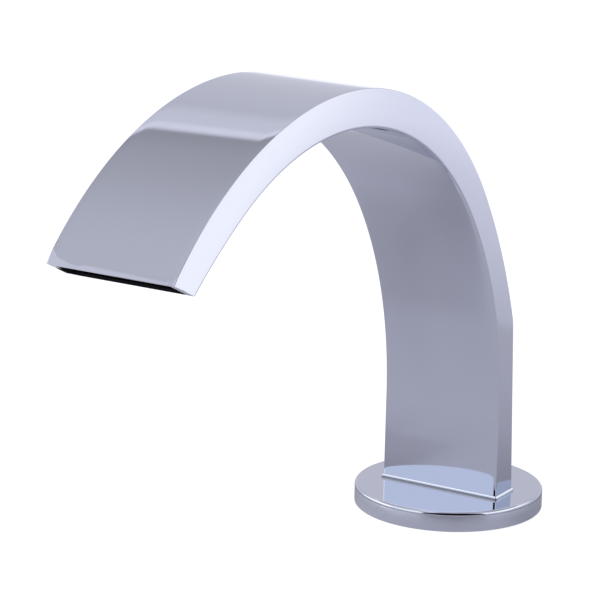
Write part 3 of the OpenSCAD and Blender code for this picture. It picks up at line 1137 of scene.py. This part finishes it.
def pale_floor(sheet, studio):
    """White to the camera; the chrome sees a glowing floor with a grey pool of painted shade round the
    flange that pales away from it
    """
    x, y, _ = sheet.parts(sheet.object_place())
    reach = (x + 0.005).hypot(y + 0.015) - 0.3 * (x + y)
    nearer = (sheet.fall(x, -0.05, -0.036) * sheet.fall(y, -0.045, -0.022)
              + sheet.fall(x, -0.095, -0.085))
    reach = reach - 0.02 * nearer
    # The grey pool is painted shade round the flange, seen only in the chrome
    pool = sheet.ramp(reach, (
        (0.04, tint(0.3, 1.22)), (0.05, tint(0.33, 1.21)), (0.066, tint(0.385, 1.2)),
        (0.08, tint(0.405, 1.19)), (0.095, tint(0.43, 1.19)), (0.132, tint(0.45, 1.17)),
        (0.138, tint(0.53, 1.17)), (0.16, tint(0.57, 1.18)), (0.205, tint(0.65, 1.18)),
        (0.27, tint(0.73, 1.17)), (0.33, tint(0.86, 1.15)), (0.5, tint(0.93, 1.12)),
        (1.0, tint(0.98, 1.08))))
    # A paler patch before the flange, painted light
    before = sheet.step(x, -0.04, -0.01) * sheet.fall(y, -0.015, 0) * sheet.fall(reach, 0.09, 0.11)
    pool = sheet.blend(before, pool, rgba(tint(0.435, 1.2)))
    # A darker patch, painted shade
    shade = sheet.fall(x, -0.026, -0.02) * sheet.step(y, -0.062, -0.054) * sheet.fall(y, -0.03, -0.012)
    pool = sheet.blend(1.0, pool, 1.0 - 0.08 * shade, "MULTIPLY")
    # A bright patch to the right and behind, painted light
    right = sheet.step(x - 0.5 * y, 0.07, 0.14) * sheet.step(y, 0.05, 0.12)
    pool = sheet.blend(right, pool, rgba(tint(1.1, 1.07)))
    # The painted pool and patches glow as emission for the rays that the chrome mirrors
    mirrored = sheet.node("ShaderNodeEmission", None, {"Color": pool, "Strength": 1.0})
    fill = sheet.node("ShaderNodeEmission", None, {"Color": rgba(studio.white), "Strength": 0.9})
    cloth = sheet.node("ShaderNodeBsdfDiffuse", None, {"Color": rgba(studio.white, 0.3)})
    seen = sheet.node("ShaderNodeAddShader", None, {0: fill, 1: cloth})
    sheet.part_rays(mirrored, seen, "ShaderNodeOutputMaterial")


def room(sheet, studio):
    """White to the camera; the chrome sees a pale room with a darker strip over the backdrop"""
    x, y, z = sheet.parts(sheet.node("ShaderNodeTexCoord", out="Generated"))
    height = 0.5 + 0.5 * z
    behind = sheet.ramp(height, by_height((degrees, tint(level)) for degrees, level in (
        (-8, 1.0), (-1, 0.97), (0, 0.72), (5, 0.63), (12, 0.595), (19, 0.575), (26, 0.57), (33, 0.555),
        (37, 0.645), (41, 0.66), (42, 0.78), (43.6, 0.76), (44.6, 0.33), (50, 0.38), (55, 0.39),
        (90, 0.45))))
    front = sheet.ramp(height, by_height((
        (-8, tint(0.95)), (3, (0.72, 0.8, 0.96)), (20, (0.72, 0.79, 0.95)), (24, tint(1.4, 1.02)),
        (37, tint(1.4, 1.02)), (40, tint(0.7)), (60, tint(0.66)), (90, tint(0.5)))))
    lifted = 1.0 + 0.42 * sheet.fall(y, -0.35, 0.5) * sheet.step(z, 0.6, 0.75)
    behind = sheet.blend(1.0, behind, lifted, "MULTIPLY")
    dim = sheet.step(x, 0.15, 0.35) * sheet.step(z, 0.1, 0.2) * sheet.fall(z, 0.36, 0.44)
    behind = sheet.blend(dim, behind, rgba(studio.wall))
    facing = x * sin(studio.azimuth) - y * cos(studio.azimuth)
    aside = x * cos(studio.azimuth) + y * sin(studio.azimuth)
    seen = sheet.blend(sheet.step(facing, 0.1, 0.2), behind, front)
    high_left = sheet.fall(aside, -0.668, -0.652) * sheet.step(z, 0.56, 0.62)
    seen = sheet.blend(high_left, seen, rgba(tint(0.66)))
    low_left = (sheet.fall(aside, -0.82, -0.76) * sheet.step(z, -0.02, 0.02)
                * sheet.fall(z, 0.56, 0.62) * sheet.fall(facing, 0.2, 0.3))
    beside = low_left + sheet.step(aside, 0.66, 0.72) * sheet.step(z, 0.37, 0.42)
    seen = sheet.blend(beside, seen, rgba(tint(1.25, 1.02)))
    # The dark card stands a little to the right of the camera
    card_x, card_y = 0.58, 0.81
    towards = (x * card_x - y * card_y) / (x.hypot(y) + 0.0001)
    card = sheet.step(towards, 0.76, 0.8) * sheet.step(z, -0.06, 0.02)
    seen = sheet.blend(card * sheet.fall(z, 0.95, 0.985), seen, rgba(studio.card))
    mirrored = sheet.node("ShaderNodeBackground", None, {"Color": seen, "Strength": 1.0})
    white = sheet.node("ShaderNodeBackground", None, {"Color": rgba(studio.white), "Strength": 1.0})
    sheet.part_rays(mirrored, white, "ShaderNodeOutputWorld")


class SPOUT_OT_stage(bpy.types.Operator):
    """Lays the floor with the tap hole and sets the soft light of the studio"""
    bl_idname = "spout.stage"
    bl_label = "Stage"

    def execute(self, context):
        scene = context.scene
        self.floor(scene.foot_sizes.sides, scene.studio_sizes)
        scene.world = scene.world or bpy.data.worlds.new("studio")
        room(Sheet(scene.world), scene.studio_sizes)
        self.lamp(scene.studio_sizes)
        return {"FINISHED"}

    def floor(self, sides, studio):
        """A wide round floor, open where the tap hole is"""
        nothing_selected()
        bpy.ops.mesh.primitive_circle_add(vertices=sides, radius=studio.hole_r, fill_type="NOTHING")
        floor = named("floor")
        editing(floor)
        all_picked("EDGE")
        ring_shares = (8, 30)
        for share in ring_shares:
            bpy.ops.mesh.extrude_region_move()
            widened(share)
        bpy.ops.mesh.select_all(action="SELECT")
        bpy.ops.mesh.normals_make_consistent(inside=False)
        done()
        floor.data.materials.append(material("pale_floor", pale_floor, studio))

    def lamp(self, studio):
        bpy.ops.object.light_add(type="AREA", location=studio.lamp_at, rotation=studio.lamp_turn)
        lamp = bpy.context.object
        lamp.name = "softbox"
        lamp.data.shape = "DISK"
        lamp.data.size = studio.lamp_w
        lamp.data.energy = studio.lamp_power
        lamp.visible_glossy = False


class SPOUT_OT_camera(bpy.types.Operator):
    """Places the camera of the photograph"""
    bl_idname = "spout.camera"
    bl_label = "Camera"

    def execute(self, context):
        studio = context.scene.studio_sizes
        az, el, roll = studio.azimuth, studio.elevation, studio.roll
        back = Vector((sin(az) * cos(el), -cos(az) * cos(el), sin(el)))
        right = Vector((cos(az), sin(az), 0))
        up = back.cross(right)
        right, up = cos(roll) * right + sin(roll) * up, cos(roll) * up - sin(roll) * right
        nothing_selected()
        bpy.ops.object.camera_add()
        camera = context.object
        camera.name = "camera"
        camera.data.lens = studio.lens
        camera.data.sensor_width = studio.picture_w
        camera.data.clip_start = studio.clip
        camera.matrix_world = Matrix((right, up, back)).transposed().to_4x4()
        camera.location = Vector(studio.target) + studio.distance * back
        context.scene.camera = camera
        context.scene.view_settings.view_transform = "Standard"
        return {"FINISHED"}


PIECES = (SPOUT_OT_cheeks, SPOUT_OT_plates, SPOUT_OT_straightener, SPOUT_OT_flange, SPOUT_OT_foot_block,
          SPOUT_OT_seals, SPOUT_OT_shank, SPOUT_OT_regulator, SPOUT_OT_clamp, SPOUT_OT_stage,
          SPOUT_OT_camera)
GROUPS = {"spout_sizes": SpoutSizes, "foot_sizes": FootSizes, "edge_sizes": EdgeSizes,
          "spout_colours": SpoutColours, "studio_sizes": StudioSizes}


class SPOUT_PT_panel(bpy.types.Panel):
    """Lists the steps that build the spout"""
    bl_idname = "SPOUT_PT_panel"
    bl_label = "Arched basin spout"
    bl_space_type = "VIEW_3D"
    bl_region_type = "UI"
    bl_category = "Spout"

    def draw(self, context):
        for piece in PIECES:
            self.layout.operator(piece.bl_idname)


def register():
    for group in GROUPS.values():
        bpy.utils.register_class(group)
    for name, group in GROUPS.items():
        setattr(bpy.types.Scene, name, PointerProperty(type=group))
    for piece in PIECES:
        bpy.utils.register_class(piece)
    bpy.utils.register_class(SPOUT_PT_panel)


def unregister():
    bpy.utils.unregister_class(SPOUT_PT_panel)
    for piece in reversed(PIECES):
        bpy.utils.unregister_class(piece)
    for name in GROUPS:
        delattr(bpy.types.Scene, name)
    for group in GROUPS.values():
        bpy.utils.unregister_class(group)


def main():
    register()
    for piece in PIECES:
        family, step = piece.bl_idname.split(".")
        getattr(getattr(bpy.ops, family), step)()


if __name__ == "__main__":
    main()
